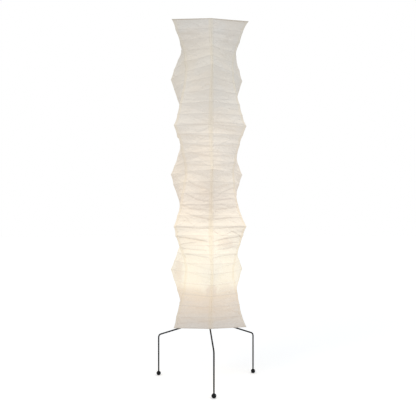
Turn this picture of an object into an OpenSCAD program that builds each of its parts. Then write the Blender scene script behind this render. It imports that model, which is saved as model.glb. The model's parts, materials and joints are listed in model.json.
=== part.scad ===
// Paper lantern floor lamp: a folded hexagonal paper column on a bent-rod tripod with ball feet.
// Origin: on the floor, under the lamp's axis. +Z is up and the front leg points along -Y.
// The shade has seven levels. Its six vertical seams take turns to stand out: the three at 60, 180
// and 300 degrees from the front stand out at the top, third, fifth and bottom levels, and the
// three at 0, 120 and 240 degrees stand out at the levels between.

/* [Shade] */
// Height of the shade's bottom edge above the floor
shade_bottom_z = 312; // [280:1:340]
// Height of the top tier
top_tier_h = 262; // [240:1:285]
// Height of the two tiers that spread downwards
short_tier_h = 241; // [220:1:265]
// Height of the three tiers that draw in downwards
tall_tier_h = 291; // [270:1:315]
// Radius of the top edge's corners, which flare a little wider than those below
top_corner_r = 234; // [220:1:245]
// Radius of the corners that stand out at the third, fifth and bottom levels
even_corner_r = 222; // [215:1:240]
// Radius of the corners that stand out at the second, fourth and sixth levels
odd_corner_r = 234; // [215:1:245]
// Radius of the corners that are drawn in at a level
drawn_corner_r = 148; // [140:1:165]
// How sharply a corner draws in from its level: 1 is a straight line
draw_power = 1.3; // [1:0.1:1.8]
// Height between ribs, before it is rounded to a whole number in each tier
rib_pitch = 53; // [45:1:70]
// Thickness of the paper
paper_t = 0.4; // [0.3:0.1:0.6]
// Diameter of the ribs' wire
rib_wire_d = 2; // [1.5:0.1:2.5]
// Diameter of the level frames' wire
frame_wire_d = 3; // [2.5:0.1:3.5]
// Bend radius at the corners of a level frame
frame_bend_r = 6; // [4:1:9]
// Gap between a wire and the paper glued round it
glue_gap = 0.3; // [0.2:0.05:0.4]

/* [Shade carriers] */
// Diameter of the spokes at the shade's top and bottom
spoke_d = 4; // [3:0.5:5]
// Diameter of the wire of the ring that sits on the legs
ring_wire_d = 4; // [3:0.5:5]
// Radius of the ring that sits on the legs
ring_r = 64; // [62:1:70]
// Outer diameter of the cup that hangs the shade on the mast
cup_d = 16; // [14:1:20]
// Height of the cup
cup_h = 30; // [26:1:36]
// Depth of the cup's blind bore
cup_bore_depth = 20; // [16:1:22]
// How far a spoke goes into the cup's wall
spoke_seat = 2.5; // [2:0.5:3]

/* [Tripod] */
// Distance from the axis to a foot
leg_reach = 312; // [280:1:340]
// Diameter of the leg rods
leg_rod_d = 8; // [7:0.5:9]
// Height at which a leg's sloping line meets the axis
leg_axis_z = 338; // [334:1:344]
// Height of the corner where a leg turns down
leg_corner_z = 229; // [210:1:245]
// Bend radius of a leg's centreline
leg_bend_r = 20; // [14:1:30]
// Diameter of the ball feet
ball_d = 25; // [22:1:30]
// Depth of the flat under a ball foot
ball_flat = 0.5; // [0.3:0.1:1]
// How far a leg goes into its ball foot
ball_socket_depth = 14; // [10:1:16]
// Diameter of the hub
hub_d = 44; // [40:1:50]
// Height of the hub's underside
hub_bottom_z = 320; // [318:1:322]
// Height of the hub
hub_h = 30; // [28:1:34]
// Distance from the axis to a leg's inner end
leg_inner_r = 9; // [8:0.5:10]
// Diameter of the grub screws that clamp the legs
grub_d = 4; // [3:0.5:5]
// Distance from the axis to a grub screw
grub_r = 16; // [14:0.5:18]

/* [Lampholder] */
// Outer diameter of the threaded stem tube
stem_d = 10; // [9:0.5:11]
// Bore of the stem tube
stem_bore_d = 7.5; // [6.5:0.5:8]
// Height of the stem's lower end
stem_bottom_z = 306; // [303:0.5:308]
// Height of the saddle's underside
saddle_z = 492; // [485:1:498]
// Thickness of the saddle
saddle_t = 3; // [2:0.5:4]
// Width of the saddle
saddle_w = 16; // [14:1:20]
// Across the flats of the stem's hexagon nuts
nut_flats = 14; // [13:0.5:16]
// Thickness of the stem's hexagon nuts
nut_t = 4; // [3:0.5:5]
// Bore of the bush that takes the supply cord
cord_bore_d = 6; // [5:0.5:6.5]
// Outer diameter of the lampholder
holder_d = 40; // [38:1:42]
// Height of the lampholder's cap
holder_cap_h = 20; // [18:1:24]
// Height of the lampholder's shell above its cap
holder_shell_h = 45; // [43:1:47]
// Wall of the lampholder's shell and cap
holder_wall = 2; // [1.5:0.5:2.5]

/* [Bulb] */
// Diameter of the bulb's screw cap over its thread
screw_d = 26; // [25.5:0.1:26.4]
// Height of the screw cap
screw_h = 25; // [24:1:27]
// Pitch of the screw cap's thread
screw_pitch = 3.63; // [3.5:0.01:3.7]
// Diameter of the bulb's light dome
dome_d = 60; // [55:1:62]
// Height from the dome's centre down to its rim
dome_drop = 13; // [10:1:16]
// Height of the plastic body between the screw cap and the dome's rim
bulb_body_h = 38; // [34:1:42]
// Wall of the light dome
dome_wall = 1.5; // [1:0.5:2]

/* [Mast] */
// Diameter of the mast rods
mast_d = 8; // [7:0.5:9]
// Diameter of the rod that arches over the bulb
arch_rod_d = 6; // [5:0.5:6.5]
// Half the width of the arch, to the rod's centreline
arch_half_w = 46; // [44:1:48]
// Height of the arch's top, at the rod's centreline
arch_top_z = 702; // [698:1:712]
// Length of the arch's rod below the saddle
arch_end_h = 9; // [8:1:11]
// Outer diameter of the sleeves that join the mast
sleeve_d = 13; // [12:1:15]
// Length of the sleeves that join the mast
sleeve_h = 34; // [30:1:40]
// Depth of the bore that holds the mast's foot
mast_seat_depth = 20; // [18:1:24]

/* [Fits] */
// Radial clearance of a rod held in a bore
held_clearance = 0.05; // [0.02:0.01:0.08]
// Radial clearance of the cup on the mast
slip_clearance = 0.1; // [0.05:0.05:0.2]
// Radial clearance of the screw cap in the lampholder
thread_clearance = 0.35; // [0.3:0.05:0.45]
// Gap between a hard piece and the seat that it rests on
seat_gap = 0.3; // [0.2:0.1:0.4]
// Gap between the shade's ring and the legs that it rests on
ring_gap = 0.8; // [0.5:0.1:0.9]

/* [Hidden] */
$fn = 48;

// --- shade: levels, corners and sections -------------------------------------------------------
tier_heights = [top_tier_h, tall_tier_h, short_tier_h, tall_tier_h, short_tier_h, tall_tier_h];
tiers = len(tier_heights);
corners = 6;
wire_sides = 8;
rib_sides = 6;
corner_steps = 3;

function sum_from(list, i) = i >= len(list) ? 0 : list[i] + sum_from(list, i + 1);
function level_z(level) = shade_bottom_z + sum_from(tier_heights, level);
function rib_gaps(tier) = round(tier_heights[tier - 1] / rib_pitch);

// Corner 0 is at the front, and the others follow anticlockwise, seen from above.
function corner_direction(corner) = [sin(60 * corner), -cos(60 * corner)];
function stands_out(level, corner) = (level + corner) % 2 == 1;
function level_radius(level, corner) =
    !stands_out(level, corner) ? drawn_corner_r
    : level == 0 ? top_corner_r
    : level % 2 == 0 ? even_corner_r
    : odd_corner_r;

// Radius of a corner at a rib of a tier, counted down from 0 at its upper level
function rib_radius(tier, corner, rib) =
    let (
        upper = level_radius(tier - 1, corner),
        lower = level_radius(tier, corner),
        share = rib / rib_gaps(tier)
    )
    upper > lower
        ? lower + (upper - lower) * pow(1 - share, draw_power)
        : upper + (lower - upper) * pow(share, draw_power);

// Radius of a corner at a share of the way down a tier. The paper runs straight from rib to rib.
function tier_radius(tier, corner, share) =
    let (
        place = share * rib_gaps(tier),
        rib = min(floor(place), rib_gaps(tier) - 1),
        part = place - rib
    )
    rib_radius(tier, corner, rib) * (1 - part) + rib_radius(tier, corner, rib + 1) * part;

// Distance from the axis to the six sides of a section whose corners have radii a and b in turn
function side_distance(a, b) = a * b * sin(60) / sqrt(a * a + b * b - a * b);

// Section of the shade, drawn in by an inset measured square to its sides
function section(tier, share, inset) =
    let (
        a = tier_radius(tier, 0, share),
        b = tier_radius(tier, 1, share),
        keep = 1 - inset / side_distance(a, b)
    )
    [for (corner = [0:corners - 1])
        corner_direction(corner) * (corner % 2 == 0 ? a : b) * keep];

function at_height(points, z) = [for (p = points) [p.x, p.y, z]];
function unit(v) = v / norm(v);
function wrap(i, n) = (i + n) % n;

// A polygon with each corner turned into an arc of radius r
function rounded(points, r) =
    [for (i = [0:len(points) - 1])
        let (
            p = points[i],
            back = unit(points[wrap(i - 1, len(points))] - p),
            ahead = unit(points[wrap(i + 1, len(points))] - p),
            half = acos(back * ahead) / 2,
            centre = p + unit(back + ahead) * r / sin(half),
            first = p + back * r / tan(half) - centre,
            turn = (180 - 2 * half) / corner_steps
        )
        for (s = [0:corner_steps])
            centre + [
                first.x * cos(s * turn) - first.y * sin(s * turn),
                first.x * sin(s * turn) + first.y * cos(s * turn)
            ]];

// A wire of diameter d along a closed flat path, anticlockwise, at height z
module wire_loop(path, z, d, sides) {
    n = len(path);
    points = [for (i = [0:n - 1])
        let (
            a = unit(path[i] - path[wrap(i - 1, n)]),
            b = unit(path[wrap(i + 1, n)] - path[i]),
            out = unit([a.y + b.y, -a.x - b.x]),
            mitre = 1 / (out * [a.y, -a.x])
        )
        for (s = [0:sides - 1])
            let (
                angle = 360 * (s + 0.5) / sides,
                flat = path[i] + out * mitre * cos(angle) * d / 2
            )
            [flat.x, flat.y, z + sin(angle) * d / 2]];
    faces = [for (i = [0:n - 1], s = [0:sides - 1])
        let (
            p = i * sides + s,
            q = i * sides + wrap(s + 1, sides),
            u = wrap(i + 1, n) * sides + s,
            v = wrap(i + 1, n) * sides + wrap(s + 1, sides)
        )
        each [[p, q, v], [p, v, u]]];
    polyhedron(points, faces);
}

// Rows of the paper from the top edge down, each as [tier, share of the way down the tier]
paper_rows = [
    for (tier = [1:tiers], i = [(tier == 1 ? 0 : 1):rib_gaps(tier)])
        [tier, i / rib_gaps(tier)]
];

// One of the six tall sheets, between a seam and the next, in this many columns of facets
columns = 4;
module paper_gore(corner) {
    next = wrap(corner + 1, corners);
    last = len(paper_rows) - 1;
    ring = 2 * (columns + 1);
    function across(edge, share) = edge[corner] + (edge[next] - edge[corner]) * share;
    points = [for (row = paper_rows)
        let (
            z = level_z(row[0] - 1) - tier_heights[row[0] - 1] * row[1],
            outside = at_height(section(row[0], row[1], 0), z),
            inside = at_height(section(row[0], row[1], paper_t), z)
        )
        each concat(
            [for (c = [0:columns]) across(outside, c / columns)],
            [for (c = [0:columns]) across(inside, 1 - c / columns)]
        )];
    bands = [for (row = [0:last - 1], s = [0:ring - 1])
        let (
            p = ring * row + s,
            q = ring * row + wrap(s + 1, ring),
            below_p = p + ring,
            below_q = q + ring,
            crease_falls = stands_out(paper_rows[row + 1][0], corner) == (s < columns)
        )
        each crease_falls
            ? [[p, below_q, q], [p, below_p, below_q]]
            : [[p, below_p, q], [below_p, below_q, q]]];
    top = [for (c = [0:columns - 1])
        each [[c, c + 1, ring - 2 - c], [c, ring - 2 - c, ring - 1 - c]]];
    bottom = [for (f = top) [for (i = [2, 1, 0]) f[i] + ring * last]];
    color([0.93, 0.9, 0.85])
        polyhedron(points, concat(top, bands, bottom));
}

module ribs_tier(tier) {
    gaps = rib_gaps(tier);
    color([0.88, 0.85, 0.78])
        for (i = [1:gaps - 1])
            wire_loop(
                section(tier, i / gaps, paper_t + glue_gap + rib_wire_d / 2),
                level_z(tier - 1) - tier_heights[tier - 1] * i / gaps,
                rib_wire_d,
                rib_sides
            );
}

// The frame of a level. The paper bends over it, so it stands a little deeper than a rib.
// The top and bottom frames lie just inside the paper's edge.
frame_inset = paper_t + 2 * glue_gap + frame_wire_d / 2;
function frame_tier(level) = max(level, 1);
function frame_z(level) =
    level_z(level) + (level == 0 ? -1 : level == tiers ? 1 : 0) * frame_wire_d / 2;
function frame_share(level) =
    let (tier = frame_tier(level)) (level_z(tier - 1) - frame_z(level)) / tier_heights[tier - 1];
function frame_path(level) =
    rounded(section(frame_tier(level), frame_share(level), frame_inset), frame_bend_r);

module level_frame(level) {
    color([0.85, 0.84, 0.8])
        wire_loop(frame_path(level), frame_z(level), frame_wire_d, wire_sides);
}

// --- shade carriers ----------------------------------------------------------------------------
shade_top_z = level_z(0);
cup_z = shade_top_z - cup_h;
mast_top_z = cup_z + cup_bore_depth - seat_gap;
// The spokes are welded on under the wire, this far into it
weld_depth = 0.4;
top_spoke_z = frame_z(0) - frame_wire_d / 2 - spoke_d / 2 + weld_depth;
bottom_spoke_z = frame_z(tiers) + frame_wire_d / 2 + spoke_d / 2 - weld_depth;
// Radius at which a frame's wire crosses the line to a corner that stands out
function frame_half_angle(level) = atan(
    drawn_corner_r * sin(60) / (level_radius(level, 1) - drawn_corner_r * cos(60)));
function frame_corner_r(level) =
    norm(section(frame_tier(level), frame_share(level), frame_inset)[1])
    - frame_bend_r * (1 / sin(frame_half_angle(level)) - 1);
leg_slope = atan((leg_axis_z - leg_corner_z) / leg_reach);
ring_z = leg_axis_z - ring_r * tan(leg_slope)
    + (leg_rod_d / 2 + ring_wire_d / 2 + ring_gap) / cos(leg_slope);

module rod_between(a, b, d) {
    span = b - a;
    length = norm(span);
    translate(a)
        rotate([0, acos(span.z / length), atan2(span.y, span.x)])
            cylinder(d = d, h = length);
}

module shade_cup() {
    color("dimgray")
        difference() {
            translate([0, 0, cup_z])
                cylinder(d = cup_d, h = cup_h);
            translate([0, 0, cup_z - 1])
                cylinder(r = mast_d / 2 + slip_clearance, h = cup_bore_depth + 1);
            for (corner = [1, 3, 5])
                rotate(60 * corner - 90)
                    translate([cup_d / 2 - spoke_seat, 0, top_spoke_z])
                        rotate([0, 90, 0])
                            cylinder(r = spoke_d / 2 + held_clearance, h = cup_d);
        }
}

module top_spokes() {
    color([0.85, 0.84, 0.8])
        for (corner = [1, 3, 5])
            rotate(60 * corner - 90)
                rod_between(
                    [cup_d / 2 - spoke_seat, 0, top_spoke_z],
                    [frame_corner_r(0) + frame_wire_d / 4, 0, top_spoke_z],
                    spoke_d
                );
}

module bottom_ring() {
    color([0.85, 0.84, 0.8])
        translate([0, 0, ring_z])
            rotate_extrude()
                translate([ring_r, 0])
                    circle(d = ring_wire_d);
}

module bottom_spokes() {
    color([0.85, 0.84, 0.8])
        for (corner = [1, 3, 5])
            rotate(60 * corner - 90)
                rod_between(
                    [ring_r, 0, ring_z],
                    [frame_corner_r(tiers) + frame_wire_d / 4, 0, bottom_spoke_z],
                    spoke_d
                );
}

// --- tripod ------------------------------------------------------------------------------------
leg_turn = 90 - leg_slope;
leg_tangent = leg_bend_r * tan(leg_turn / 2);
ball_centre_z = ball_d / 2 - ball_flat;
leg_bottom_z = ball_centre_z + ball_d / 2 - ball_socket_depth;
hub_top_z = hub_bottom_z + hub_h;
function leg_line_z(r) = leg_axis_z - r * tan(leg_slope);

// Length of a leg's sloping run, from its inner end to its bend
leg_run = (leg_reach - leg_inner_r) / cos(leg_slope) - leg_tangent;

// Puts its children in a leg's own frame, at the centre of the bend, with the bend in the XY plane
module at_leg_bend(turns) {
    rotate(120 * turns - 90)
        translate([leg_reach - leg_bend_r, 0, leg_corner_z - leg_tangent])
            rotate([90, 0, 0])
                children();
}

module leg_run_rod(d, length) {
    rotate(leg_turn)
        translate([leg_bend_r, 0])
            rotate([-90, 0, 0])
                cylinder(d = d, h = length);
}

module leg(turns) {
    color([0.1, 0.1, 0.1])
        at_leg_bend(turns) {
            leg_run_rod(leg_rod_d, leg_run);
            rotate_extrude(angle = leg_turn)
                translate([leg_bend_r, 0])
                    circle(d = leg_rod_d);
            translate([leg_bend_r, 0])
                rotate([90, 0, 0])
                    cylinder(d = leg_rod_d, h = leg_corner_z - leg_tangent - leg_bottom_z);
        }
}

module foot(turns) {
    color([0.08, 0.08, 0.08])
        rotate(120 * turns - 90)
            translate([leg_reach, 0, 0])
                difference() {
                    translate([0, 0, ball_centre_z])
                        sphere(d = ball_d);
                    translate([0, 0, -ball_d])
                        cylinder(d = 2 * ball_d, h = ball_d);
                    translate([0, 0, leg_bottom_z])
                        cylinder(r = leg_rod_d / 2 + held_clearance, h = ball_d);
                }
}

// The leg falls away outwards, so a screw's outer side meets it first
grub_top_z = leg_line_z(grub_r + grub_d / 2) - leg_rod_d / 2 / cos(leg_slope) - seat_gap;
grub_recess = 2.5;
module hub() {
    color([0.12, 0.12, 0.12])
        difference() {
            translate([0, 0, hub_bottom_z])
                cylinder(d = hub_d, h = hub_h);
            translate([0, 0, hub_bottom_z - 1])
                cylinder(r = stem_d / 2 + held_clearance, h = hub_h + 2);
            for (turns = [0:2]) {
                at_leg_bend(turns)
                    leg_run_rod(leg_rod_d + 2 * held_clearance, leg_run);
                rotate(120 * turns - 90)
                    translate([grub_r, 0, hub_bottom_z - 1])
                        cylinder(
                            r = grub_d / 2 + held_clearance,
                            h = leg_line_z(grub_r) - hub_bottom_z + 1
                        );
            }
        }
}

module hub_grub_screws() {
    color("gray")
        for (turns = [0:2])
            rotate(120 * turns - 90)
                translate([grub_r, 0, hub_bottom_z + seat_gap])
                    difference() {
                        cylinder(d = grub_d, h = grub_top_z - hub_bottom_z - seat_gap);
                        translate([0, 0, -1])
                            cylinder(d = grub_d / 2, h = grub_recess + 1, $fn = 6);
                    }
}

// --- stem and lampholder -----------------------------------------------------------------------
holder_cap_z = saddle_z + saddle_t;
holder_shell_z = holder_cap_z + holder_cap_h;
holder_top_z = holder_shell_z + holder_shell_h;
// The cap is narrower at its lower end by this much
cap_taper = 8;
// The stem stands this far up inside the cap
stem_entry = 6;
stem_top_z = holder_cap_z + holder_wall + stem_entry;
// The bush's flange is this thick, and this much wider than the stem
bush_flange = 3;
bush_depth = 8;
thread_wall = 0.6;
// The screw cap stands this far out of the shell
screw_standout = 2;
screw_z = holder_top_z + screw_standout - screw_h;
insulator_h = 3;
contact_h = 1.5;
// The holder's contact is a tongue of this height on the core's floor
tongue_h = 2;
tongue_d = 7;
core_floor_z = screw_z - insulator_h - contact_h - tongue_h;
// The core and the threaded sleeve end this far below the shell's edge
core_drop = 4;
thread_drop = 5;
thread_bore_r = screw_d / 2 + thread_clearance;

module stem_tube() {
    color("silver")
        translate([0, 0, stem_bottom_z])
            difference() {
                cylinder(d = stem_d, h = stem_top_z - stem_bottom_z);
                translate([0, 0, -1])
                    cylinder(d = stem_bore_d, h = stem_top_z - stem_bottom_z + 2);
            }
}

module hexagon_nut(z, flats, bore_d, height) {
    translate([0, 0, z])
        difference() {
            cylinder(d = flats / cos(30), h = height, $fn = 6);
            translate([0, 0, -1])
                cylinder(r = bore_d / 2 + held_clearance, h = height + 2);
        }
}

module stem_nuts() {
    color("silver") {
        hexagon_nut(hub_bottom_z - nut_t, nut_flats, stem_d, nut_t);
        hexagon_nut(hub_top_z, nut_flats, stem_d, nut_t);
        hexagon_nut(saddle_z - nut_t, nut_flats, stem_d, nut_t);
    }
}

module cord_bush() {
    color([0.1, 0.1, 0.1])
        difference() {
            union() {
                translate([0, 0, stem_bottom_z - bush_flange])
                    cylinder(d = stem_d + bush_flange, h = bush_flange);
                translate([0, 0, stem_bottom_z - 1])
                    cylinder(r = stem_bore_d / 2 - held_clearance, h = bush_depth + 1);
            }
            translate([0, 0, stem_bottom_z - bush_flange - 1])
                cylinder(d = cord_bore_d, h = bush_flange + bush_depth + 2);
        }
}

module holder_cap() {
    color([0.09, 0.09, 0.09])
        difference() {
            translate([0, 0, holder_cap_z])
                cylinder(d1 = holder_d - cap_taper, d2 = holder_d, h = holder_cap_h);
            translate([0, 0, holder_cap_z + holder_wall])
                cylinder(
                    d1 = holder_d - cap_taper - 2 * holder_wall,
                    d2 = holder_d - 2 * holder_wall,
                    h = holder_cap_h
                );
            translate([0, 0, holder_cap_z - 1])
                cylinder(r = stem_d / 2 + held_clearance, h = holder_cap_h);
        }
}

module holder_shell() {
    color([0.09, 0.09, 0.09])
        translate([0, 0, holder_shell_z])
            difference() {
                cylinder(d = holder_d, h = holder_shell_h);
                translate([0, 0, -1])
                    cylinder(d = holder_d - 2 * holder_wall, h = holder_shell_h + 2);
            }
}

module holder_core() {
    core_r = holder_d / 2 - holder_wall - seat_gap;
    color("ivory")
        difference() {
            translate([0, 0, holder_shell_z])
                cylinder(r = core_r, h = holder_shell_h - core_drop);
            translate([0, 0, core_floor_z])
                cylinder(r = thread_bore_r + thread_wall + held_clearance, h = holder_shell_h);
        }
}

module holder_thread() {
    color("gold")
        translate([0, 0, core_floor_z + seat_gap])
            difference() {
                cylinder(
                    r = thread_bore_r + thread_wall,
                    h = holder_top_z - thread_drop - core_floor_z - seat_gap
                );
                translate([0, 0, -1])
                    cylinder(r = thread_bore_r, h = holder_shell_h);
            }
}

module holder_contact() {
    color("gold")
        translate([0, 0, core_floor_z])
            cylinder(d = tongue_d, h = tongue_h - seat_gap);
}

// --- bulb --------------------------------------------------------------------------------------
body_z = screw_z + screw_h;
dome_rim_z = body_z + bulb_body_h;
dome_centre_z = dome_rim_z + dome_drop;
dome_rim_r = sqrt(pow(dome_d / 2, 2) - dome_drop * dome_drop);
thread_depth = 1;
thread_turns = 5;
thread_start = 3;
// Where the screw cap's end meets its insulator, and the faces of the contact below
screw_end_d = screw_d - 8;
insulator_d = 11;
contact_d = 9;
contact_tip_d = 6;

module bulb_screw_cap() {
    ridges = [for (i = [0:thread_turns - 1])
        let (z = thread_start + i * screw_pitch)
        each [
            [screw_d / 2 - thread_depth, z],
            [screw_d / 2, z + screw_pitch * 0.3],
            [screw_d / 2, z + screw_pitch * 0.6],
            [screw_d / 2 - thread_depth, z + screw_pitch * 0.9]
        ]];
    color("silver")
        translate([0, 0, screw_z])
            rotate_extrude()
                polygon(concat(
                    [[0, 0], [screw_end_d / 2, 0], [screw_d / 2 - thread_depth, thread_start - 0.5]],
                    ridges,
                    [[screw_d / 2 - thread_depth, screw_h], [0, screw_h]]
                ));
}

module bulb_insulator() {
    color([0.1, 0.1, 0.12])
        translate([0, 0, screw_z - insulator_h])
            cylinder(d1 = insulator_d, d2 = screw_end_d, h = insulator_h);
}

module bulb_contact() {
    color("silver")
        translate([0, 0, screw_z - insulator_h - contact_h])
            cylinder(d1 = contact_tip_d, d2 = contact_d, h = contact_h);
}

module bulb_body() {
    color("white")
        translate([0, 0, body_z])
            rotate_extrude()
                polygon([
                    [0, 0], [screw_d / 2 + 1, 0], [screw_d / 2 + 2, 3],
                    [dome_rim_r - 1, bulb_body_h - 5], [dome_rim_r, bulb_body_h - 2],
                    [dome_rim_r, bulb_body_h], [0, bulb_body_h]
                ]);
}

module bulb_dome() {
    color([1, 0.97, 0.88])
        difference() {
            translate([0, 0, dome_centre_z])
                sphere(d = dome_d);
            translate([0, 0, dome_centre_z])
                sphere(d = dome_d - 2 * dome_wall);
            translate([0, 0, dome_rim_z - dome_d])
                cylinder(d = 2 * dome_d, h = dome_d);
        }
}

// --- arch over the bulb, and mast --------------------------------------------------------------
arch_spring_z = arch_top_z - arch_half_w;
// The seat is solid over the arch's rod, up to the mast's foot
mast_seat_floor = 4;
mast_seat_d = sleeve_d + 1;
mast_foot_z = arch_top_z + arch_rod_d / 2 + mast_seat_floor;
arch_nut_flats = arch_rod_d * 1.7;
mast_part_h = (mast_top_z - mast_foot_z) / 3;

module arch_saddle() {
    color([0.12, 0.12, 0.12])
        difference() {
            union() {
                translate([-arch_half_w, -saddle_w / 2, saddle_z])
                    cube([2 * arch_half_w, saddle_w, saddle_t]);
                for (side = [-1, 1])
                    translate([side * arch_half_w, 0, saddle_z])
                        cylinder(d = saddle_w, h = saddle_t);
            }
            translate([0, 0, saddle_z - 1])
                cylinder(r = stem_d / 2 + held_clearance, h = saddle_t + 2);
            for (side = [-1, 1])
                translate([side * arch_half_w, 0, saddle_z - 1])
                    cylinder(r = arch_rod_d / 2 + held_clearance, h = saddle_t + 2);
        }
}

module bulb_arch() {
    color([0.12, 0.12, 0.12]) {
        for (side = [-1, 1])
            translate([side * arch_half_w, 0, saddle_z - arch_end_h])
                cylinder(d = arch_rod_d, h = arch_spring_z - saddle_z + arch_end_h);
        translate([0, 0, arch_spring_z])
            rotate([90, 0, 0])
                rotate_extrude(angle = 180)
                    translate([arch_half_w, 0])
                        circle(d = arch_rod_d);
    }
}

module arch_nuts() {
    color("silver")
        for (side = [-1, 1])
            translate([side * arch_half_w, 0, 0]) {
                hexagon_nut(saddle_z - nut_t, arch_nut_flats, arch_rod_d, nut_t);
                hexagon_nut(saddle_z + saddle_t, arch_nut_flats, arch_rod_d, nut_t);
            }
}

module mast_seat() {
    color([0.12, 0.12, 0.12])
        difference() {
            translate([0, 0, arch_top_z])
                cylinder(d = mast_seat_d, h = mast_foot_z + mast_seat_depth - arch_top_z);
            translate([0, 0, mast_foot_z])
                cylinder(r = mast_d / 2 + held_clearance, h = mast_seat_depth + 1);
            translate([-arch_half_w, 0, arch_top_z])
                rotate([0, 90, 0])
                    cylinder(r = arch_rod_d / 2 + held_clearance, h = 2 * arch_half_w);
        }
}

module mast_part(number) {
    color([0.12, 0.12, 0.12])
        translate([0, 0, mast_foot_z + number * mast_part_h])
            cylinder(d = mast_d, h = mast_part_h);
}

module mast_sleeve(number) {
    color([0.12, 0.12, 0.12])
        translate([0, 0, mast_foot_z + number * mast_part_h - sleeve_h / 2])
            difference() {
                cylinder(d = sleeve_d, h = sleeve_h);
                translate([0, 0, -1])
                    cylinder(r = mast_d / 2 + held_clearance, h = sleeve_h + 2);
            }
}

leg(0);  // leg_front
leg(1);  // leg_rear_right
leg(2);  // leg_rear_left
foot(0);  // foot_front
foot(1);  // foot_rear_right
foot(2);  // foot_rear_left
hub();
hub_grub_screws();
stem_tube();
stem_nuts();
cord_bush();
holder_cap();
holder_shell();
holder_core();
holder_thread();
holder_contact();
bulb_dome();
bulb_body();
bulb_screw_cap();
bulb_insulator();
bulb_contact();
arch_saddle();
bulb_arch();
arch_nuts();
mast_seat();
mast_part(0);  // mast_lower
mast_part(1);  // mast_middle
mast_part(2);  // mast_upper
mast_sleeve(1);  // mast_sleeve_lower
mast_sleeve(2);  // mast_sleeve_upper
shade_cup();
top_spokes();
level_frame(0);  // frame_top
level_frame(1);  // frame_level_1
level_frame(2);  // frame_level_2
level_frame(3);  // frame_level_3
level_frame(4);  // frame_level_4
level_frame(5);  // frame_level_5
level_frame(6);  // frame_bottom
bottom_ring();
bottom_spokes();
paper_gore(0);  // paper_gore_1
paper_gore(1);  // paper_gore_2
paper_gore(2);  // paper_gore_3
paper_gore(3);  // paper_gore_4
paper_gore(4);  // paper_gore_5
paper_gore(5);  // paper_gore_6
ribs_tier(1);  // ribs_tier_1
ribs_tier(2);  // ribs_tier_2
ribs_tier(3);  // ribs_tier_3
ribs_tier(4);  // ribs_tier_4
ribs_tier(5);  // ribs_tier_5
ribs_tier(6);  // ribs_tier_6
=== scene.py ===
import json
import math
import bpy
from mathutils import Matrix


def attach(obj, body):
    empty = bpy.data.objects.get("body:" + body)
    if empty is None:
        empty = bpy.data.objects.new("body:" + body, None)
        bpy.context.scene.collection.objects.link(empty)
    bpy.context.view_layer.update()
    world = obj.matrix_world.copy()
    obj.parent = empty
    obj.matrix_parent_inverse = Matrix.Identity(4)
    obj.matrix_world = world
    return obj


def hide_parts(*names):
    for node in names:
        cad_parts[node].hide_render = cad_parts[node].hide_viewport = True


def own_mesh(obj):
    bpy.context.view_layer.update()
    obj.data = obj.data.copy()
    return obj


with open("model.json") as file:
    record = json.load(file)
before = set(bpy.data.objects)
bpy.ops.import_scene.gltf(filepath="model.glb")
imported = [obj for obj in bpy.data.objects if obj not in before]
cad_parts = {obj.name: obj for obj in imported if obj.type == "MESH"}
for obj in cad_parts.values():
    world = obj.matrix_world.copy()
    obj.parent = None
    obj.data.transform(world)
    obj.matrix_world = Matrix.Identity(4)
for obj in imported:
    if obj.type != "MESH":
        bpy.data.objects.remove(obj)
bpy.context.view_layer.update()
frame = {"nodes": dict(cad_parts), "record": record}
from types import SimpleNamespace

import bpy
import numpy as np

nodes = frame["nodes"]

# --- the shade's measures, in metres, as in the part's source ----------------------------------
LEVEL_Z = [1.929, 1.667, 1.376, 1.135, 0.844, 0.603, 0.312]
RIB_GAPS = [5, 5, 5, 5, 5, 5]
SIDES = 6
# How far corners are from the axis: standing out at the top edge, even and odd levels, or drawn in
OUT_TOP, OUT_EVEN, OUT_ODD, DRAWN_IN = 0.234, 0.222, 0.234, 0.148
# A corner's way from drawn in to standing out is a curve of this power.
CORNER_POWER = 1.3
PAPER_T = 0.0004
# The rib wires: the glue outside them, their diameter, the size of their bends, and faces around
GLUE_GAP, RIB_D, RIB_BEND, RIB_FACES = 0.0003, 0.002, 0.004, 10
# Where the bulb's light comes from, and the heights between which its dome grows brighter
BULB = (0.0, 0.0, 0.613)
DOME_RIM_Z, DOME_BRIGHT_Z = 0.598, 0.622
MM = 1000


# --- rings: each rib, frame and edge has six corners, and they count down from the top edge ----
def out_radius(level):
    """How far a corner that stands out at a level is from the axis."""
    if level == 0:
        return OUT_TOP
    return OUT_ODD if level % 2 else OUT_EVEN


def corner_radius(corner, tier, share):
    """How far a corner is from the axis, at a share of the way down a tier."""
    upper, lower = [out_radius(level) if (level + corner) % 2 else DRAWN_IN for level in (tier, tier + 1)]
    if upper > lower:
        return lower + (upper - lower) * (1 - share) ** CORNER_POWER
    return upper + (lower - upper) * share ** CORNER_POWER


ring_z, ring_r, at_level = [], [], []
for tier, gaps in enumerate(RIB_GAPS):
    # the first tier also has the top edge
    for rib in range(0 if tier == 0 else 1, gaps + 1):
        share = rib / gaps
        ring_z.append(LEVEL_Z[tier] + (LEVEL_Z[tier + 1] - LEVEL_Z[tier]) * share)
        ring_r.append([corner_radius(corner, tier, share) for corner in range(SIDES)])
        at_level.append(rib in (0, gaps))
ring_z, ring_r = np.array(ring_z), np.array(ring_r)
RINGS = len(ring_z)
turn = np.radians(360 / SIDES * np.arange(SIDES))
corner_dir = np.stack([np.sin(turn), -np.cos(turn), 0 * turn], axis=1)

# Paper that dries between ribs pulls each corner a little out of line, but not at a level frame.
STRAY, MOST_STRAY = 0.0016, 0.003
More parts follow.
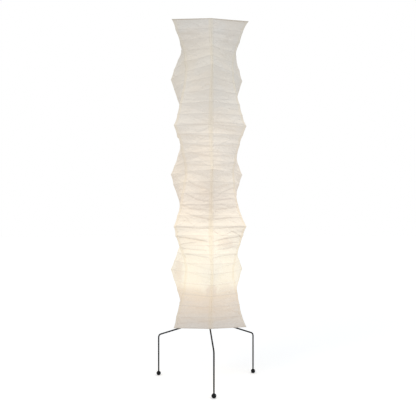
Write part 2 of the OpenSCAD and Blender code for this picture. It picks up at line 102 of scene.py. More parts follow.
# Between two ribs it draws each corner in, by a depth between these two.
DIP_LEAST, DIP_MOST, DIP_POWER = 0.0010, 0.0046, 0.8
CORNER_SEED = 41
rng = np.random.RandomState(CORNER_SEED)
stray = np.clip(rng.normal(0, STRAY, (RINGS, SIDES)), -MOST_STRAY, MOST_STRAY)
stray[at_level] = 0
ring_r = ring_r + stray
dips = rng.uniform(DIP_LEAST, DIP_MOST, (RINGS - 1, SIDES))

# Where the outline in the photograph bulges or dips: for each corner, ring and mm outwards
NUDGES = {
    1: {1: -12, 2: -9, 3: -14, 4: -10, 9: -4, 12: -3, 13: -2, 17: -8, 18: -14, 19: -9, 28: -5, 29: -7},
    2: {3: 3, 4: 2},
    4: {2: -8, 3: -3, 7: -4, 8: -5, 16: 8, 26: 3},
    5: {2: -10, 3: -13, 9: -3, 11: -2, 12: -3, 21: 7, 22: 6, 29: 3},
}
for corner, moves in NUDGES.items():
    for ring, out in moves.items():
        ring_r[ring, corner] += out / MM

# Rows of points in the paper from one rib to the next
ROWS_PER_GAP = 22


def corner_line(corner):
    """The seam's line at every row: straight from rib to rib, drawn in a little between them."""
    rows = []
    for gap in range(RINGS - 1):
        last = gap == RINGS - 2
        f = np.arange(ROWS_PER_GAP + last) / ROWS_PER_GAP
        r = ring_r[gap, corner] * (1 - f) + ring_r[gap + 1, corner] * f
        r = r - dips[gap, corner] * np.sin(np.pi * f) ** DIP_POWER
        z = ring_z[gap] * (1 - f) + ring_z[gap + 1] * f
        rows.append(corner_dir[corner] * r[:, None] + np.stack([0 * z, 0 * z, z], axis=1))
    return np.concatenate(rows)


lines = [corner_line(corner) for corner in range(SIDES)]


# --- small numeric tools -----------------------------------------------------------------------
# Cells of random values across and up, before they repeat
LATTICE = 64


def smooth(x):
    """A soft step from 0 to 1 as x goes from 0 to 1."""
    x = np.clip(x, 0, 1)
    return x * x * (3 - 2 * x)


def noise(x, y, seed):
    """Smooth noise from -1 to 1 on a seeded lattice of unit cells."""
    table = np.random.RandomState(seed).uniform(-1, 1, (LATTICE, LATTICE))
    xi, yi = np.floor(x).astype(int), np.floor(y).astype(int)
    fx, fy = smooth(x - xi), smooth(y - yi)
    left, right = xi % LATTICE, (xi + 1) % LATTICE
    first, second = yi % LATTICE, (yi + 1) % LATTICE
    on_first = table[first, left] * (1 - fx) + table[first, right] * fx
    on_second = table[second, left] * (1 - fx) + table[second, right] * fx
    return on_first * (1 - fy) + on_second * fy


def facets(x, y, seed):
    """Distance to the nearest point of a jittered lattice of unit cells: hollows with sharp crests."""
    jitter = np.random.RandomState(seed).rand(2, LATTICE, LATTICE)
    xi, yi = np.floor(x).astype(int), np.floor(y).astype(int)
    nearest = np.full(x.shape, np.inf)
    for down in (-1, 0, 1):
        for along in (-1, 0, 1):
            cx, cy = xi + along, yi + down
            px = cx + jitter[0, cy % LATTICE, cx % LATTICE]
            py = cy + jitter[1, cy % LATTICE, cx % LATTICE]
            nearest = np.minimum(nearest, np.hypot(x - px, y - py))
    return nearest


def normals_of(points):
    """Unit normals of a grid of points that runs down in rows and along in columns."""
    across = np.gradient(points, axis=1)
    down = np.gradient(points, axis=0)
    n = np.cross(down, across)
    return n / np.linalg.norm(n, axis=2, keepdims=True)


def mesh_object(name, points, faces, places=None):
    """A smooth-shaded object of quads, with the paper's map where its places are given."""
    mesh = bpy.data.meshes.new(name)
    points, faces = np.asarray(points, np.float32), np.asarray(faces, np.int32)
    mesh.vertices.add(len(points))
    mesh.vertices.foreach_set("co", points.ravel())
    mesh.loops.add(faces.size)
    mesh.loops.foreach_set("vertex_index", faces.ravel())
    mesh.polygons.add(len(faces))
    mesh.polygons.foreach_set("loop_start", np.arange(0, faces.size, faces.shape[1]).astype(np.int32))
    mesh.update(calc_edges=True)
    mesh.validate()
    mesh.polygons.foreach_set("use_smooth", np.ones(len(mesh.polygons), bool))
    if places is not None:
        layer = mesh.uv_layers.new(name="paper_place")
        index = np.zeros(len(mesh.loops), np.int32)
        mesh.loops.foreach_get("vertex_index", index)
        layer.data.foreach_set("uv", np.asarray(places, np.float32)[index].ravel())
    obj = bpy.data.objects.new(name, mesh)
    bpy.context.scene.collection.objects.link(obj)
    return obj


# --- paper: all measures in metres, where nothing else is said ---------------------------------
# The first seed of each kind of random draw, to which a sheet adds its corner
SEEDS = {"creases": 100, "coarse": 60, "fine": 70, "waves": 80, "pucker": 120, "folds": 300, "sag": 500}
# Each sheet also reads its noise this many cells further on than the one before.
NOISE_SHIFT, PUCKER_SHIFT = 7, 11

# The strong folds of the two sheets in view, listed one by one. Each runs from one share of the sheet's
# width and height in mm to another, and the last value is how far the paper hangs over it, in mm.
SEEN_FOLDS = {
    5: [
        (0.10, 1855, 0.75, 1840, 1.5), (0.10, 1815, 0.35, 1835, 1.5), (0.60, 1820, 0.80, 1850, 1.5),
        (0.05, 1765, 0.90, 1760, 1.5), (0.20, 1710, 0.90, 1715, 1.5), (0.60, 1660, 0.90, 1690, 1.0),
        (0.30, 1605, 0.85, 1600, 1.0), (0.60, 1555, 0.95, 1585, 1.5), (0.05, 1555, 0.90, 1540, 1.0),
        (0.10, 1515, 0.95, 1500, 1.5), (0.10, 1440, 0.40, 1450, 1.5), (0.50, 1415, 1.00, 1390, 1.0),
        (0.10, 1380, 1.00, 1375, 4.5), (0.60, 1335, 1.00, 1365, 3.0), (0.10, 1325, 0.95, 1310, 3.0),
        (0.55, 1285, 0.80, 1305, 2.5), (0.10, 1275, 1.00, 1260, 3.0), (0.20, 1235, 0.95, 1205, 2.5),
        (0.10, 1170, 0.95, 1155, 3.0), (0.05, 1145, 0.60, 1110, 2.0), (0.60, 1110, 1.00, 1095, 2.5),
        (0.00, 1100, 0.45, 1055, 3.5), (0.45, 1055, 0.90, 1030, 3.0), (0.10, 1020, 0.50, 985, 3.0),
        (0.50, 985, 0.95, 970, 3.0), (0.20, 960, 0.55, 955, 2.5), (0.25, 940, 0.80, 930, 2.5),
        (0.20, 915, 1.00, 880, 3.0), (0.20, 905, 0.55, 845, 1.5), (0.00, 845, 1.00, 835, 4.0),
        (0.05, 790, 0.90, 765, 5.0), (0.05, 750, 0.55, 760, 3.5), (0.05, 730, 0.85, 720, 4.0),
        (0.10, 700, 0.95, 680, 4.0), (0.05, 650, 0.95, 625, 4.0), (0.05, 605, 0.95, 580, 3.0),
        (0.00, 550, 0.95, 560, 2.0), (0.10, 500, 1.00, 490, 2.0), (0.15, 435, 1.00, 440, 1.5),
        (0.05, 390, 0.95, 400, 1.5), (0.10, 335, 1.00, 350, 1.5),
    ],
    0: [
        (0.05, 1855, 0.95, 1855, 1.5), (0.10, 1805, 0.25, 1780, 1.5), (0.25, 1810, 0.80, 1810, 1.0),
        (0.30, 1750, 0.65, 1730, 2.0), (0.40, 1755, 0.95, 1755, 1.0), (0.75, 1755, 0.90, 1790, 1.5),
        (0.15, 1640, 1.00, 1660, 1.5), (0.15, 1595, 1.00, 1625, 1.0), (0.05, 1535, 0.90, 1570, 1.5),
        (0.05, 1500, 0.95, 1515, 1.5), (0.05, 1445, 1.00, 1465, 1.5), (0.00, 1385, 1.00, 1380, 5.0),
        (0.05, 1370, 0.90, 1365, 2.5), (0.05, 1365, 0.80, 1345, 2.5), (0.05, 1310, 0.55, 1310, 2.5),
        (0.35, 1275, 0.60, 1295, 2.0), (0.05, 1260, 0.95, 1270, 3.0), (0.05, 1205, 0.90, 1220, 3.0),
        (0.05, 1155, 0.95, 1170, 3.0), (0.15, 1105, 0.90, 1120, 2.0), (0.10, 1040, 0.90, 1070, 3.0),
        (0.40, 1020, 0.95, 1050, 2.5), (0.05, 975, 0.85, 990, 3.0), (0.30, 960, 0.90, 950, 2.5),
        (0.10, 930, 0.85, 945, 2.5), (0.10, 880, 1.00, 890, 2.5), (0.00, 835, 1.00, 845, 4.0),
        (0.05, 825, 0.35, 795, 3.0), (0.35, 795, 0.65, 820, 2.5), (0.60, 820, 0.95, 785, 3.0),
        (0.05, 765, 0.90, 790, 4.5), (0.20, 745, 0.85, 760, 4.0), (0.20, 725, 0.80, 735, 4.0),
        (0.05, 680, 0.90, 695, 4.0), (0.05, 620, 0.90, 640, 3.0), (0.25, 585, 0.50, 595, 2.0),
        (0.10, 555, 0.85, 560, 2.0), (0.05, 490, 0.85, 510, 2.0), (0.05, 440, 0.90, 450, 1.5),
        (0.45, 400, 1.00, 415, 1.5), (0.05, 350, 1.00, 370, 1.5),
    ],
}
# How far a fold reaches into the paper above it, and what each millimetre of its depth adds
FOLD_REACH, REACH_PER_MM = 0.0045, 0.0011
# The most that a fold bends, and the share of its length over which it starts and ends
FOLD_BEND, FOLD_FADE = 0.004, 0.12
# The hollow under a fold, as shares of its depth and reach, and half the thickness of its lip
UNDER_DEPTH, UNDER_REACH, HALF_LIP = 0.4, 0.45, 0.0012
# This many reaches away from its line a fold has run out.
RUN_OUT = 20


def overhang(grid, fold, bend):
    """A fold where the paper above hangs over the paper below, in metres out of the sheet's face."""
    share_a, z_a, share_b, z_b, depth = fold
    reach = FOLD_REACH + depth * REACH_PER_MM
    run, rise = (share_b - share_a) * grid.width, (z_b - z_a) / MM
    length = np.hypot(run, rise)
    ux, uz = run / length, rise / length
    x, z = (grid.share - share_a) * grid.width, grid.t - z_a / MM
    # u goes from 0 to 1 along the fold, and v is the way up from its bent line
    u = (x * ux + z * uz) / length
    v = z * ux - x * uz
    v = v - bend * np.sin(np.pi * np.clip(u, 0, 1))
    ends = smooth((u + FOLD_FADE) / (2 * FOLD_FADE)) * smooth((1 + FOLD_FADE - u) / (2 * FOLD_FADE))
    above = v / reach * np.exp(1 - np.clip(v / reach, 0, RUN_OUT))
    below = -UNDER_DEPTH * np.exp(-np.clip(-v / (UNDER_REACH * reach), 0, RUN_OUT))
    lip = smooth((v + HALF_LIP) / (2 * HALF_LIP))
    return depth / MM * ends * (below * (1 - lip) + np.maximum(above, 0) * lip)


# Random folds, in mm: the heights that they stand at, how far each shifts, and their depths
FOLDS_FROM, FOLDS_TO, FOLD_STEP = 340, 1920, 27
FOLD_SHIFT, FOLD_DEPTHS = 9, (1.2, 3.0)
# Their two ends as shares of the width, and how much longer they are made
FOLD_ENDS, FOLD_EXTRA = (0.02, 0.98), 0.3
# How far they rise or fall, in mm: this share of them a little, and the others more
NEARLY_LEVEL, LITTLE_RISE, STEEP_RISE = 0.7, 9, 26


def random_folds(seed):
    """Folds for a sheet that isn't in view: mostly level, with some that fan out of its corners."""
    r = np.random.RandomState(seed)
    folds = []
    for z in np.arange(FOLDS_FROM, FOLDS_TO, FOLD_STEP):
        start, end = np.sort(r.uniform(*FOLD_ENDS, 2))
        end = min(FOLD_ENDS[1], end + FOLD_EXTRA)
        rise = LITTLE_RISE if r.rand() < NEARLY_LEVEL else STEEP_RISE
        z_end = z + r.normal(0, rise)
        z_start = z + r.uniform(-FOLD_SHIFT, FOLD_SHIFT)
        depth = r.uniform(*FOLD_DEPTHS)
        folds.append((start, z_start, end, z_end, depth))
    return folds


CREASES = 420
# Where a crease's middle lies, as a share of the width and as a height
CREASE_ACROSS, CREASE_Z = (0.05, 0.95), (0.33, 1.91)
# Half its length and half its width, how far it usually stands out, and how it runs out
CREASE_LENGTH, CREASE_REACH, CREASE_HEIGHT, CREASE_POWER = (0.010, 0.042), (0.003, 0.008), 0.0011, 1.5
# How creases slant, in degrees: this share of them a little, and the others steeply
LEVEL_CREASES, LITTLE_SLANT, STEEP_SLANT = 0.6, 14, (20, 70)


def small_creases(grid, seed):
    """Short sharp ridges and valleys between the folds."""
    r = np.random.RandomState(seed)
    d = np.zeros_like(grid.s)
    for _ in range(CREASES):
        middle = r.uniform(*CREASE_ACROSS) * grid.width
        z = r.uniform(*CREASE_Z)
        level = r.rand() < LEVEL_CREASES
        slant = r.normal(0, LITTLE_SLANT) if level else r.choice([-1, 1]) * r.uniform(*STEEP_SLANT)
        slant = math.radians(slant)
        length = r.uniform(*CREASE_LENGTH)
        reach = r.uniform(*CREASE_REACH)
        height = r.normal(0, CREASE_HEIGHT)
        u = (grid.s - middle) * math.cos(slant) + (grid.t - z) * math.sin(slant)
        v = (grid.t - z) * math.cos(slant) - (grid.s - middle) * math.sin(slant)
        body = np.clip(1 - (u / length) ** 2, 0, 1) ** CREASE_POWER
        d += height * body * np.clip(1 - np.abs(v) / reach, 0, 1)
    return d


COLUMNS = 72
# Columns stand closer beside the seams, where the overlap has its edge.
COLUMN_SHIFT = 0.06


def sheet_grid(corner):
    """The smooth sheet between two seams, as a grid of points, and where each point lies in it.

    s is the way across the sheet, share is s as a part of the width, and t is the height. gap and f
    say between which ribs a row lies and how far down from the upper one.
    """
    left, right = lines[corner], lines[(corner + 1) % SIDES]
    even = np.linspace(0, 1, COLUMNS + 1)
    share = (even - COLUMN_SHIFT * np.sin(2 * np.pi * even))[None, :]
    points = left[:, None] * (1 - share)[..., None] + right[:, None] * share[..., None]
    width = np.linalg.norm(right - left, axis=1)[:, None]
    s = share * width
    t = np.repeat(points[:, :1, 2], COLUMNS + 1, axis=1)
    row = np.arange(len(left))[:, None]
    gap = np.minimum(row // ROWS_PER_GAP, RINGS - 2)
    f = (row - gap * ROWS_PER_GAP) / ROWS_PER_GAP
    return SimpleNamespace(
        points=points, share=share, width=width, s=s, t=t, gap=gap, f=f,
        to_rib=np.minimum(f, 1 - f) * (ring_z[:-1] - ring_z[1:])[gap],
        to_seam=np.minimum(s, width - s),
        to_edge=np.minimum(t - LEVEL_Z[-1], LEVEL_Z[0] - t))


# How deep the paper sags, how far off the middle of a gap, and how square it sags across
SAG_LEAST, SAG_MOST, SAG_TILT, SAG_POWER = 0.0004, 0.0026, 0.45, 0.6


def sagging(grid, r):
    """The paper's sag between two ribs, deepest at another height in each gap."""
    sag = r.uniform(SAG_LEAST, SAG_MOST, RINGS - 1)[grid.gap]
    tilt = r.uniform(-SAG_TILT, SAG_TILT, RINGS - 1)[grid.gap]
    belly = np.sin(np.pi * np.clip(grid.f + tilt * grid.f * (1 - grid.f), 0, 1))
    return -sag * belly * np.sin(np.pi * grid.share) ** SAG_POWER


# Facets of the crumple in two sizes: depth, width and length up the sheet, and the fine ones' slant
COARSE_D, COARSE_W, COARSE_L = 0.0020, 0.046, 0.023
FINE_D, FINE_W, FINE_L, FINE_SLANT = 0.0009, 0.019, 0.011, 9
# About the middle of the distances that facets gives
FACET_MIDDLE = 0.55


def crumple(grid, corner):
    """Hollows with sharp crests in two sizes. The small ones run aslant."""
    s, t = grid.s, grid.t
    coarse = facets(s / COARSE_W + NOISE_SHIFT * corner, t / COARSE_L, SEEDS["coarse"] + corner)
    fine = facets(s / FINE_W + t * FINE_SLANT, t / FINE_L, SEEDS["fine"] + corner)
    return COARSE_D * (coarse - FACET_MIDDLE) + FINE_D * (fine - FACET_MIDDLE)


# Soft waves all over, and puckers in the paste beside the seams: height, and number per metre
WAVE_D, WAVES_ACROSS, WAVES_UP = 0.0008, 22, 46
PUCKER_D, PUCKERS_ACROSS, PUCKERS_UP = 0.0013, 70, 95
# The distance from a seam where puckers end, and how far they take to fade
PUCKER_END, PUCKER_FADE = 0.028, 0.014
# Distances from a rib, a seam and a hem's edge over which they hold the paper in place
RIB_HOLD, SEAM_HOLD, HEM_HOLD = 0.005, 0.014, 0.008
# The share of its way out that the paper keeps over a rib
KEPT_ON_RIB = 0.55
# The overlap of two sheets at a seam and the turned hems: width, rise, and width of the step
SEAM_W, SEAM_RISE, SEAM_STEP = 0.012, 0.0006, 0.0015
HEM_W, HEM_RISE, HEM_STEP = 0.006, 0.0005, 0.001
# Both start from nothing at the seam's own line.
SEAM_START = 0.002


def sheet_relief(grid, corner):
    """How far the crumpled paper stands out of the smooth sheet, in metres."""
    r = np.random.RandomState(SEEDS["sag"] + corner)
    d = sagging(grid, r)
    for fold in SEEN_FOLDS.get(corner) or random_folds(SEEDS["folds"] + corner):
        d = d + overhang(grid, fold, r.uniform(-FOLD_BEND, FOLD_BEND))
    d = d + small_creases(grid, SEEDS["creases"] + corner)
    d = d + crumple(grid, corner)
    across = grid.s * WAVES_ACROSS + NOISE_SHIFT * corner
    d = d + WAVE_D * noise(across, grid.t * WAVES_UP, SEEDS["waves"] + corner)
    # the paste puckers the paper along each seam
    across = grid.s * PUCKERS_ACROSS + PUCKER_SHIFT * corner
    pucker = noise(across, grid.t * PUCKERS_UP, SEEDS["pucker"] + corner)
    d = d + PUCKER_D * pucker * smooth((PUCKER_END - grid.to_seam) / PUCKER_FADE)
    # the ribs hold the paper out, so folds go inwards only between them
    hold = smooth(grid.to_rib / RIB_HOLD)
    d = np.where(d > 0, d * (KEPT_ON_RIB + (1 - KEPT_ON_RIB) * hold), d * hold)
    d = d * smooth(grid.to_seam / SEAM_HOLD) * smooth(grid.to_edge / HEM_HOLD)
    # the overlap of two sheets at each seam, and the turned hems
    start = smooth(grid.to_seam / SEAM_START)
    d = d + SEAM_RISE * smooth((SEAM_W - grid.to_seam) / SEAM_STEP) * start
    return d + HEM_RISE * smooth((HEM_W + HEM_STEP - grid.to_edge) / HEM_STEP) * start


def sheet_faces(rows, columns):
    """Quads of a sheet's outer and inner face, and of the rim that joins the two."""
    count = rows * columns
    index = np.arange(count).reshape(rows, columns)
    a, b, c, d = index[:-1, :-1], index[:-1, 1:], index[1:, 1:], index[1:, :-1]
    outer = np.stack([a, d, c, b], axis=-1).reshape(-1, 4)
    inner = np.stack([a, b, c, d], axis=-1).reshape(-1, 4) + count
    loop = np.concatenate([index[0, :], index[1:, -1], index[-1, -2::-1], index[-2:0:-1, 0]])
    ahead = np.roll(loop, -1)
    rim = np.stack([loop, ahead, ahead + count, loop + count], axis=1)
    return np.concatenate([outer, inner, rim])


# Two neighbours' inner faces meet this many thicknesses of the paper inside their seam.
SEAM_MEETING = 1.25
# The paper's map holds distances in tenths of a metre. Below zero it marks the hems and the inside.
MAP_SCALE, HEM_MARK, INSIDE_SHIFT = 10, -0.005, 0.001


def gore(corner):
    """The crumpled sheet between a corner's seam and the next one, and its mean width."""
    grid = sheet_grid(corner)
    outer = grid.points + normals_of(grid.points) * sheet_relief(grid, corner)[..., None]
    inner = outer - normals_of(outer) * PAPER_T
    # both faces of two neighbours meet on the plane through their seam
    for column, seam in ((0, corner), (-1, (corner + 1) % SIDES)):
        inner[:, column] = outer[:, column] - corner_dir[seam] * PAPER_T * SEAM_MEETING
    points = np.concatenate([outer.reshape(-1, 3), inner.reshape(-1, 3)])
    # the map holds the way to the seam, below zero inside, and to the rib, below zero on the hems
    to_line = np.where(grid.to_edge < HEM_W, HEM_MARK, grid.to_rib)
    outside = np.stack([grid.to_seam, to_line], axis=-1).reshape(-1, 2) * MAP_SCALE
    inside = outside * (-1, 1) - (INSIDE_SHIFT, 0)
    places = np.concatenate([outside, inside])
    obj = mesh_object("paper_sheet_%d" % (corner + 1), points, sheet_faces(*grid.s.shape), places)
    return obj, float(grid.width.mean())


# --- material nodes ----------------------------------------------------------------------------
def material(name):
    """A new material, with its node tree and its Principled shader."""
    m = bpy.data.materials.new(name)
    m.use_nodes = True
    return m, m.node_tree, m.node_tree.nodes["Principled BSDF"]


def feed(tree, sockets, values):
    """Links each socket to its value or sets it. A value of None leaves its socket alone."""
    for socket, value in zip(sockets, values):
        if isinstance(value, bpy.types.NodeSocket):
            tree.links.new(value, socket)
        elif value is not None:
            socket.default_value = value


def math_node(tree, operation, a, b=None):
    """Arithmetic on one or two numbers."""
    node = tree.nodes.new("ShaderNodeMath")
    node.operation = operation
    feed(tree, node.inputs, (a, b))
    return node.outputs["Value"]


def times(tree, a, b):
    """One number or socket times another."""
    return math_node(tree, "MULTIPLY", a, b)


def vector_node(tree, operation, a, b=None):
    """Vector arithmetic. A length or a dot product is a number."""
    node = tree.nodes.new("ShaderNodeVectorMath")
    node.operation = operation
    feed(tree, node.inputs, (a, b))
    return node.outputs["Value" if operation in ("LENGTH", "DOT_PRODUCT") else "Vector"]


def position(tree):
    """Where a point of the surface is, in metres."""
    return tree.nodes.new("ShaderNodeNewGeometry").outputs["Position"]


def split_xyz(tree, vector):
    """The three parts of a vector."""
    node = tree.nodes.new("ShaderNodeSeparateXYZ")
    tree.links.new(vector, node.inputs["Vector"])
    return node.outputs["X"], node.outputs["Y"], node.outputs["Z"]


def remap(tree, value, low, high, to_low=0.0, to_high=1.0):
    """A soft step from to_low at or below low to to_high at or above high."""
    node = tree.nodes.new("ShaderNodeMapRange")
    node.interpolation_type = "SMOOTHSTEP"
    names = ("Value", "From Min", "From Max", "To Min", "To Max")
    feed(tree, [node.inputs[name] for name in names], (value, low, high, to_low, to_high))
    return node.outputs["Result"]


def fade(tree, value, low, high):
    """One at or below low, and nothing at or above high."""
    return remap(tree, value, low, high, 1.0, 0.0)


def mix_colour(tree, factor, a, b, blend="MIX"):
    """Colour a with b mixed in by the factor, or with another blend of the two."""
    node = tree.nodes.new("ShaderNodeMix")
    node.data_type = "RGBA"
    node.blend_type = blend
    a, b = [(*colour, 1) if isinstance(colour, tuple) else colour for colour in (a, b)]
    feed(tree, [node.inputs[name] for name in ("Factor", "A", "B")], (factor, a, b))
    return node.outputs["Result"]


def layered(tree, base, layers):
    """A colour with layers over it: each is a mark, the share of it that shows, and a colour."""
    for mark, share, colour in layers:
        base = mix_colour(tree, times(tree, mark, share), base, colour)
    return base


def stretched_place(tree, stretch):
    """The position, scaled along each axis. A pattern is finer where the scale is above one."""
    mapping = tree.nodes.new("ShaderNodeMapping")
    mapping.inputs["Scale"].default_value = stretch
    tree.links.new(position(tree), mapping.inputs["Vector"])
    return mapping.outputs["Vector"]


def place_noise(tree, scale, detail, stretch=(1, 1, 1)):
    """Noise from 0 to 1 that is fixed in space, with its scale in cells per metre."""
    node = tree.nodes.new("ShaderNodeTexNoise")
    node.inputs["Scale"].default_value = scale
    node.inputs["Detail"].default_value = detail
    node.inputs["Roughness"].default_value = 0.55
    tree.links.new(stretched_place(tree, stretch), node.inputs["Vector"])
    return node.outputs["Fac"]


def bump(tree, height, strength, distance, normal=None):
    """The normal of a surface with small relief on it, over another normal where one is given."""
    node = tree.nodes.new("ShaderNodeBump")
    names = ("Strength", "Distance", "Height", "Normal")
    feed(tree, [node.inputs[name] for name in names], (strength, distance, height, normal))
    return node.outputs["Normal"]


# --- the paper's material ----------------------------------------------------------------------
# Light that bounces about inside the shade and comes out through the paper, by height in metres
GLOW_LOW, GLOW_HIGH = 0.30, 1.95
GLOW_BY_HEIGHT = [
    (0.33, (0.095, 0.042, 0.000)),
    (0.45, (0.268, 0.164, 0.066)),
    (0.50, (0.345, 0.228, 0.096)),
    (0.56, (0.322, 0.198, 0.054)),
    (0.90, (0.302, 0.189, 0.080)),
    (0.98, (0.245, 0.145, 0.060)),
    (1.10, (0.260, 0.180, 0.101)),
    (1.24, (0.230, 0.162, 0.095)),
    (1.45, (0.158, 0.113, 0.066)),
    (1.72, (0.120, 0.088, 0.046)),
    (1.85, (0.058, 0.034, 0.010)),
]
# Light straight from the bulb, which its opaque lower half cuts off below a cone
DIRECT_COLOUR, DIRECT_GAIN = (0.168, 0.213, 0.212), 0.12
CUT_OFF_SLOPE, CUT_OFF_SOFTNESS = -0.58, 0.17
# The paper's scatter levels the edge of the light, so the cone is taken flatter than it is.
CONE_WIDENING, CONE_RADIUS = 0.5, 0.085
# How much a fold's turn to or from the bulb changes the light that comes through it
FOLD_SHADING = 0.45
# Inside, the paper throws back more light than it lets out, and the room's light comes in too.
INSIDE_GAIN, ROOM_LIGHT = 0.6, (0.230, 0.222, 0.205)
# Spots of painted shade, where less of the bulb's light comes out through the crumpled paper: middle,
# size and share
PAINTED_SHADE_SPOTS = [
    ((0.090, -0.155, 0.755), (0.075, 0.090, 0.045), 0.60),
    ((-0.075, -0.160, 0.768), (0.080, 0.090, 0.022), 0.35),
    ((0.000, -0.190, 0.520), (0.042, 0.080, 0.048), 0.75),
    ((0.090, -0.150, 0.535), (0.080, 0.090, 0.040), 0.30),
    ((-0.170, 0.020, 0.605), (0.060, 0.110, 0.110), 0.60),
]
# The colour by which the spots of painted shade hold back the light
PAINTED_SHADE_TINT = (0.70, 0.55, 0.40)
# Distances from a rib or a seam, in the map's units, over which marks fade out or come in
RIB_SHADOW_FADE, CREST_FADE, OVERLAP_FADE = (0.012, 0.030), (0.006, 0.018), (0.116, 0.122)
EDGE_RISE, EDGE_FADE = (0.108, 0.118), (0.120, 0.130)
# A hem is where the map lies below this. The lower hem shows by a share of what the upper one does.
HEM_BELOW, HEM_HEIGHTS, LOWER_HEM = -0.02, (0.4, 1.8), 0.3
# The paper's own two colours, in patches
COOL_PAPER, WARM_PAPER = (0.609, 0.603, 0.588), (0.624, 0.602, 0.570)


def fine_crumple(tree):
    """Crumple too fine for the mesh: soft folds, a web of sharp creases, and the paper's fibres."""
    folds = place_noise(tree, scale=9, detail=4, stretch=(1, 1, 3.2))
    fibres = place_noise(tree, scale=260, detail=2, stretch=(1, 1, 0.35))
    web = tree.nodes.new("ShaderNodeTexVoronoi")
    web.feature = "DISTANCE_TO_EDGE"
    web.inputs["Scale"].default_value = 22
    tree.links.new(stretched_place(tree, (1, 1, 1.9)), web.inputs["Vector"])
    creases = remap(tree, web.outputs["Distance"], 0.0, 0.09)
    normal = bump(tree, folds, strength=0.55, distance=0.006)
    normal = bump(tree, creases, strength=0.40, distance=0.0014, normal=normal)
    normal = bump(tree, fibres, strength=0.25, distance=0.0005, normal=normal)
    return normal, fibres


def above_cut_off(tree, ray, level):
    """One where the bulb's own light reaches, and nothing below its cone."""
    _, _, rise = split_xyz(tree, ray)
    run = times(tree, vector_node(tree, "LENGTH", level), CONE_WIDENING)
    slope = math_node(tree, "DIVIDE", rise, math_node(tree, "ADD", run, CONE_RADIUS))
    return remap(tree, slope, CUT_OFF_SLOPE - CUT_OFF_SOFTNESS, CUT_OFF_SLOPE + CUT_OFF_SOFTNESS)


def bulb_light(tree, normal):
    """The share of the bulb's own light that the paper passes on, and how its folds shade the rest."""
    ray = vector_node(tree, "SUBTRACT", position(tree), BULB)
    level = vector_node(tree, "MULTIPLY", ray, (1, 1, 0))
    distance = vector_node(tree, "LENGTH", ray)
    facing = math_node(tree, "ABSOLUTE", vector_node(tree, "DOT_PRODUCT", ray, normal))
    # the light falls with the square of the distance, and levels off where it is strong
    cube = math_node(tree, "POWER", distance, 3.0)
    falling = times(tree, math_node(tree, "DIVIDE", facing, cube), -DIRECT_GAIN)
    direct = math_node(tree, "SUBTRACT", 1.0, math_node(tree, "POWER", math.e, falling))
    direct = times(tree, direct, above_cut_off(tree, ray, level))
    # folds that turn towards the bulb pass more of its light than those that turn away
    outward = vector_node(tree, "NORMALIZE", level)
    unfolded = math_node(tree, "ABSOLUTE", vector_node(tree, "DOT_PRODUCT", ray, outward))
    turn_here = math_node(tree, "DIVIDE", facing, distance)
    turn_unfolded = math_node(tree, "DIVIDE", unfolded, distance)
    relief = math_node(tree, "SUBTRACT", turn_here, turn_unfolded)
    shading = math_node(tree, "ADD", 1.0, times(tree, relief, FOLD_SHADING))
    return direct, shading


def light_by_height(tree):
    """The light that bounces about inside the shade, as a colour by height."""
    _, _, z = split_xyz(tree, position(tree))
    share = math_node(tree, "DIVIDE", math_node(tree, "SUBTRACT", z, GLOW_LOW), GLOW_HIGH - GLOW_LOW)
    node = tree.nodes.new("ShaderNodeValToRGB")
    ramp = node.color_ramp
    while len(ramp.elements) < len(GLOW_BY_HEIGHT):
        ramp.elements.new(0.5)
    for element, (height, colour) in zip(ramp.elements, GLOW_BY_HEIGHT):
        element.position = (height - GLOW_LOW) / (GLOW_HIGH - GLOW_LOW)
        element.color = (*colour, 1)
    tree.links.new(share, node.inputs["Fac"])
    return node.outputs["Color"]


def light_in_paper(tree, normal, inside):
    """All the light in the paper, before its marks hold some of it back."""
    direct, shading = bulb_light(tree, normal)
    bounced = mix_colour(tree, 1.0, light_by_height(tree), shading, "MULTIPLY")
    straight = mix_colour(tree, 1.0, DIRECT_COLOUR, direct, "MULTIPLY")
    light = mix_colour(tree, 1.0, bounced, straight, "ADD")
    brighter = mix_colour(tree, INSIDE_GAIN, light, light, "ADD")
    brighter = mix_colour(tree, 1.0, brighter, ROOM_LIGHT, "ADD")
    return mix_colour(tree, inside, light, brighter)


def spot_of(tree, centre, size):
    """One at the middle of a soft spot with a ragged edge, and nothing outside it."""
    shift = vector_node(tree, "SUBTRACT", position(tree), centre)
    away = vector_node(tree, "LENGTH", vector_node(tree, "DIVIDE", shift, size))
    ragged = math_node(tree, "ADD", away, place_noise(tree, scale=30, detail=2, stretch=(1, 1, 2)))
    return fade(tree, ragged, 0.85, 1.45)


def paper_marks(tree, seam, rib, fibres):
    """How strongly each mark shows, from 0 to 1. Seam and rib are distances in the map's units."""
    _, _, height = split_xyz(tree, position(tree))
    hem = math_node(tree, "LESS_THAN", rib, HEM_BELOW)
    specks = tree.nodes.new("ShaderNodeTexVoronoi")
    specks.inputs["Scale"].default_value = 60
    tree.links.new(position(tree), specks.inputs["Vector"])
    # only the few cells with a high random colour hold a speck
    few = remap(tree, specks.outputs["Color"], 0.93, 0.96)
    return {
        # the painted shadow of the rib wires behind the paper
        "rib": fade(tree, rib, *RIB_SHADOW_FADE),
        "overlap": fade(tree, seam, *OVERLAP_FADE),
        "overlap_edge": times(tree, remap(tree, seam, *EDGE_RISE), fade(tree, seam, *EDGE_FADE)),
        "crest": fade(tree, seam, *CREST_FADE),
        # the hem shows at full strength at the top edge, and at a share of that at the bottom edge
        "hem": times(tree, hem, remap(tree, height, *HEM_HEIGHTS, LOWER_HEM, 1.0)),
        "speck": times(tree, fade(tree, specks.outputs["Distance"], 0.05, 0.12), few),
        "fibres": remap(tree, fibres, 0.35, 0.65),
    }


